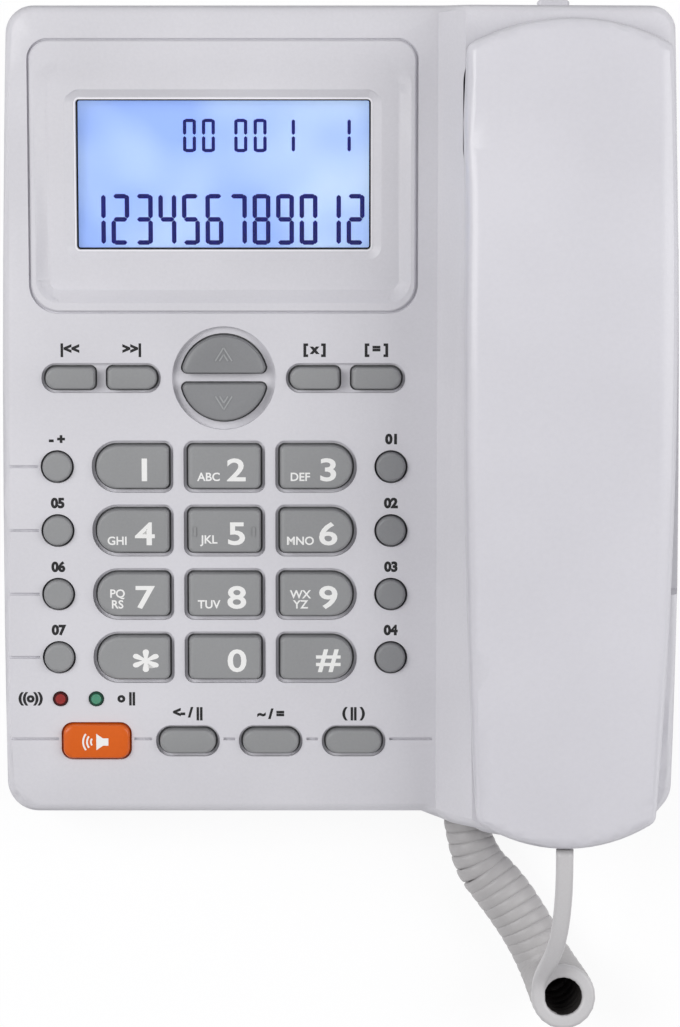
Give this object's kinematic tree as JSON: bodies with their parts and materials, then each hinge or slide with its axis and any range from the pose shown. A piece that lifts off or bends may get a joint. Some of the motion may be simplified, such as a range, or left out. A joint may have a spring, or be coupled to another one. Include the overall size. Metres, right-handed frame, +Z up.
{
  "type": "corded desk telephone",
  "caption": "Corded desk telephone with a sloped deck, backlit display, push-button keypad, and a handset on a coiled cord lying in a side cradle.",
  "frame": {"origin": "middle of the telephone's box on the table, the cord and its plugs left out", "axes": "+X to the right, the handset's side; +Y to the rear, away from the user; +Z up"},
  "size_m": [0.1722, 0.2652, 0.0768],
  "materials": {
    "white_plastic": "fine moulded, slightly cool white",
    "grey_plastic": "smooth mid grey",
    "orange_plastic": "smooth orange",
    "lens": "clear",
    "display": "pale blue, lit",
    "board": "green laminate",
    "rubber": "matt black",
    "keypad_rubber": "matt grey",
    "steel": "plated",
    "dark_plastic": "matt black",
    "clear_plastic": "translucent",
    "cord": "smooth flexible sheath",
    "red_lamp": "tinted",
    "green_lamp": "tinted"
  },
  "bodies": {
    "base": {"top_housing": "white_plastic", "bottom_housing": "white_plastic", "rubber_feet": "rubber", "housing_screws": "steel", "display_bezel": "white_plastic", "display_window": "lens", "lcd_panel": "display", "backlight": "display", "main_board": "board", "keypad_membrane": "keypad_rubber", "ring_led": "red_lamp", "use_led": "green_lamp", "hook_switch": "dark_plastic", "ringer_switch": "dark_plastic", "line_jack": "dark_plastic", "loudspeaker": "steel", "handset_jack": "dark_plastic", "base_plug": "clear_plastic", "curly_cord": "cord"},
    "handset": {"handset_back": "white_plastic", "handset_face": "white_plastic", "handset_screws": "steel", "receiver": "dark_plastic", "microphone": "dark_plastic", "handset_socket": "dark_plastic", "handset_plug": "clear_plastic"},
    "hook_plunger": {"hook_plunger": "grey_plastic"},
    "ringer_knob": {"ringer_knob": "grey_plastic"},
    "key_1": {"key_1": "grey_plastic"},
    "key_2": {"key_2": "grey_plastic"},
    "key_3": {"key_3": "grey_plastic"},
    "key_4": {"key_4": "grey_plastic"},
    "key_5": {"key_5": "grey_plastic"},
    "key_6": {"key_6": "grey_plastic"},
    "key_7": {"key_7": "grey_plastic"},
    "key_8": {"key_8": "grey_plastic"},
    "key_9": {"key_9": "grey_plastic"},
    "key_star": {"key_star": "grey_plastic"},
    "key_0": {"key_0": "grey_plastic"},
    "key_hash": {"key_hash": "grey_plastic"},
    "memory_key_1": {"memory_key_1": "grey_plastic"},
    "memory_key_2": {"memory_key_2": "grey_plastic"},
    "memory_key_3": {"memory_key_3": "grey_plastic"},
    "memory_key_4": {"memory_key_4": "grey_plastic"},
    "memory_key_5": {"memory_key_5": "grey_plastic"},
    "memory_key_6": {"memory_key_6": "grey_plastic"},
    "memory_key_7": {"memory_key_7": "grey_plastic"},
    "volume_key": {"volume_key": "grey_plastic"},
    "up_key": {"up_key": "grey_plastic"},
    "down_key": {"down_key": "grey_plastic"},
    "back_key": {"back_key": "grey_plastic"},
    "out_key": {"out_key": "grey_plastic"},
    "delete_key": {"delete_key": "grey_plastic"},
    "memo_key": {"memo_key": "grey_plastic"},
    "redial_key": {"redial_key": "grey_plastic"},
    "flash_key": {"flash_key": "grey_plastic"},
    "hold_key": {"hold_key": "grey_plastic"},
    "speaker_key": {"speaker_key": "orange_plastic"}
  },
  "joints": [
    {"name": "key_1_press", "type": "slide", "parent": "base", "child": "key_1", "axis": [0, -0.1392, 0.9903], "range_m": [-0.0012, 0], "stiffness_N_per_m": 800, "deforming": ["keypad_membrane"]},
    {"name": "key_2_press", "type": "slide", "parent": "base", "child": "key_2", "axis": [0, -0.1392, 0.9903], "range_m": [-0.0012, 0], "stiffness_N_per_m": 800, "deforming": ["keypad_membrane"]},
    {"name": "key_3_press", "type": "slide", "parent": "base", "child": "key_3", "axis": [0, -0.1392, 0.9903], "range_m": [-0.0012, 0], "stiffness_N_per_m": 800, "deforming": ["keypad_membrane"]},
    {"name": "key_4_press", "type": "slide", "parent": "base", "child": "key_4", "axis": [0, -0.1392, 0.9903], "range_m": [-0.0012, 0], "stiffness_N_per_m": 800, "deforming": ["keypad_membrane"]},
    {"name": "key_5_press", "type": "slide", "parent": "base", "child": "key_5", "axis": [0, -0.1392, 0.9903], "range_m": [-0.0012, 0], "stiffness_N_per_m": 800, "deforming": ["keypad_membrane"]},
    {"name": "key_6_press", "type": "slide", "parent": "base", "child": "key_6", "axis": [0, -0.1392, 0.9903], "range_m": [-0.0012, 0], "stiffness_N_per_m": 800, "deforming": ["keypad_membrane"]},
    {"name": "key_7_press", "type": "slide", "parent": "base", "child": "key_7", "axis": [0, -0.1392, 0.9903], "range_m": [-0.0012, 0], "stiffness_N_per_m": 800, "deforming": ["keypad_membrane"]},
    {"name": "key_8_press", "type": "slide", "parent": "base", "child": "key_8", "axis": [0, -0.1392, 0.9903], "range_m": [-0.0012, 0], "stiffness_N_per_m": 800, "deforming": ["keypad_membrane"]},
    {"name": "key_9_press", "type": "slide", "parent": "base", "child": "key_9", "axis": [0, -0.1392, 0.9903], "range_m": [-0.0012, 0], "stiffness_N_per_m": 800, "deforming": ["keypad_membrane"]},
    {"name": "key_star_press", "type": "slide", "parent": "base", "child": "key_star", "axis": [0, -0.1392, 0.9903], "range_m": [-0.0012, 0], "stiffness_N_per_m": 800, "deforming": ["keypad_membrane"]},
    {"name": "key_0_press", "type": "slide", "parent": "base", "child": "key_0", "axis": [0, -0.1392, 0.9903], "range_m": [-0.0012, 0], "stiffness_N_per_m": 800, "deforming": ["keypad_membrane"]},
    {"name": "key_hash_press", "type": "slide", "parent": "base", "child": "key_hash", "axis": [0, -0.1392, 0.9903], "range_m": [-0.0012, 0], "stiffness_N_per_m": 800, "deforming": ["keypad_membrane"]},
    {"name": "memory_key_1_press", "type": "slide", "parent": "base", "child": "memory_key_1", "axis": [0, -0.1392, 0.9903], "range_m": [-0.0012, 0], "stiffness_N_per_m": 800, "deforming": ["keypad_membrane"]},
    {"name": "memory_key_2_press", "type": "slide", "parent": "base", "child": "memory_key_2", "axis": [0, -0.1392, 0.9903], "range_m": [-0.0012, 0], "stiffness_N_per_m": 800, "deforming": ["keypad_membrane"]},
    {"name": "memory_key_3_press", "type": "slide", "parent": "base", "child": "memory_key_3", "axis": [0, -0.1392, 0.9903], "range_m": [-0.0012, 0], "stiffness_N_per_m": 800, "deforming": ["keypad_membrane"]},
    {"name": "memory_key_4_press", "type": "slide", "parent": "base", "child": "memory_key_4", "axis": [0, -0.1392, 0.9903], "range_m": [-0.0012, 0], "stiffness_N_per_m": 800, "deforming": ["keypad_membrane"]},
    {"name": "memory_key_5_press", "type": "slide", "parent": "base", "child": "memory_key_5", "axis": [0, -0.1392, 0.9903], "range_m": [-0.0012, 0], "stiffness_N_per_m": 800, "deforming": ["keypad_membrane"]},
    {"name": "memory_key_6_press", "type": "slide", "parent": "base", "child": "memory_key_6", "axis": [0, -0.1392, 0.9903], "range_m": [-0.0012, 0], "stiffness_N_per_m": 800, "deforming": ["keypad_membrane"]},
    {"name": "memory_key_7_press", "type": "slide", "parent": "base", "child": "memory_key_7", "axis": [0, -0.1392, 0.9903], "range_m": [-0.0012, 0], "stiffness_N_per_m": 800, "deforming": ["keypad_membrane"]},
    {"name": "volume_key_press", "type": "slide", "parent": "base", "child": "volume_key", "axis": [0, -0.1392, 0.9903], "range_m": [-0.0012, 0], "stiffness_N_per_m": 800, "deforming": ["keypad_membrane"]},
    {"name": "up_key_press", "type": "slide", "parent": "base", "child": "up_key", "axis": [0, -0.1392, 0.9903], "range_m": [-0.0012, 0], "stiffness_N_per_m": 800, "deforming": ["keypad_membrane"]},
    {"name": "down_key_press", "type": "slide", "parent": "base", "child": "down_key", "axis": [0, -0.1392, 0.9903], "range_m": [-0.0012, 0], "stiffness_N_per_m": 800, "deforming": ["keypad_membrane"]},
    {"name": "back_key_press", "type": "slide", "parent": "base", "child": "back_key", "axis": [0, -0.1392, 0.9903], "range_m": [-0.0012, 0], "stiffness_N_per_m": 800, "deforming": ["keypad_membrane"]},
    {"name": "out_key_press", "type": "slide", "parent": "base", "child": "out_key", "axis": [0, -0.1392, 0.9903], "range_m": [-0.0012, 0], "stiffness_N_per_m": 800, "deforming": ["keypad_membrane"]},
    {"name": "delete_key_press", "type": "slide", "parent": "base", "child": "delete_key", "axis": [0, -0.1392, 0.9903], "range_m": [-0.0012, 0], "stiffness_N_per_m": 800, "deforming": ["keypad_membrane"]},
    {"name": "memo_key_press", "type": "slide", "parent": "base", "child": "memo_key", "axis": [0, -0.1392, 0.9903], "range_m": [-0.0012, 0], "stiffness_N_per_m": 800, "deforming": ["keypad_membrane"]},
    {"name": "redial_key_press", "type": "slide", "parent": "base", "child": "redial_key", "axis": [0, -0.1392, 0.9903], "range_m": [-0.0012, 0], "stiffness_N_per_m": 800, "deforming": ["keypad_membrane"]},
    {"name": "flash_key_press", "type": "slide", "parent": "base", "child": "flash_key", "axis": [0, -0.1392, 0.9903], "range_m": [-0.0012, 0], "stiffness_N_per_m": 800, "deforming": ["keypad_membrane"]},
    {"name": "hold_key_press", "type": "slide", "parent": "base", "child": "hold_key", "axis": [0, -0.1392, 0.9903], "range_m": [-0.0012, 0], "stiffness_N_per_m": 800, "deforming": ["keypad_membrane"]},
    {"name": "speaker_key_press", "type": "slide", "parent": "base", "child": "speaker_key", "axis": [0, -0.1392, 0.9903], "range_m": [-0.0012, 0], "stiffness_N_per_m": 800, "deforming": ["keypad_membrane"]},
    {"name": "handset_lift", "type": "slide", "parent": "base", "child": "handset", "axis": [0, -0.1392, 0.9903], "range_m": [0, 0.09], "deforming": ["curly_cord"]},
    {"name": "hook_rise", "type": "slide", "parent": "base", "child": "hook_plunger", "axis": [0, -0.1392, 0.9903], "range_m": [0, 0.004]},
    {"name": "ringer_slide", "type": "slide", "parent": "base", "child": "ringer_knob", "axis": [1, 0, 0], "range_m": [-0.002, 0.002]}
  ],
  "couplings": [
    {"joint": "hook_rise", "follows": "handset_lift", "ratio": 0.04444}
  ]
}
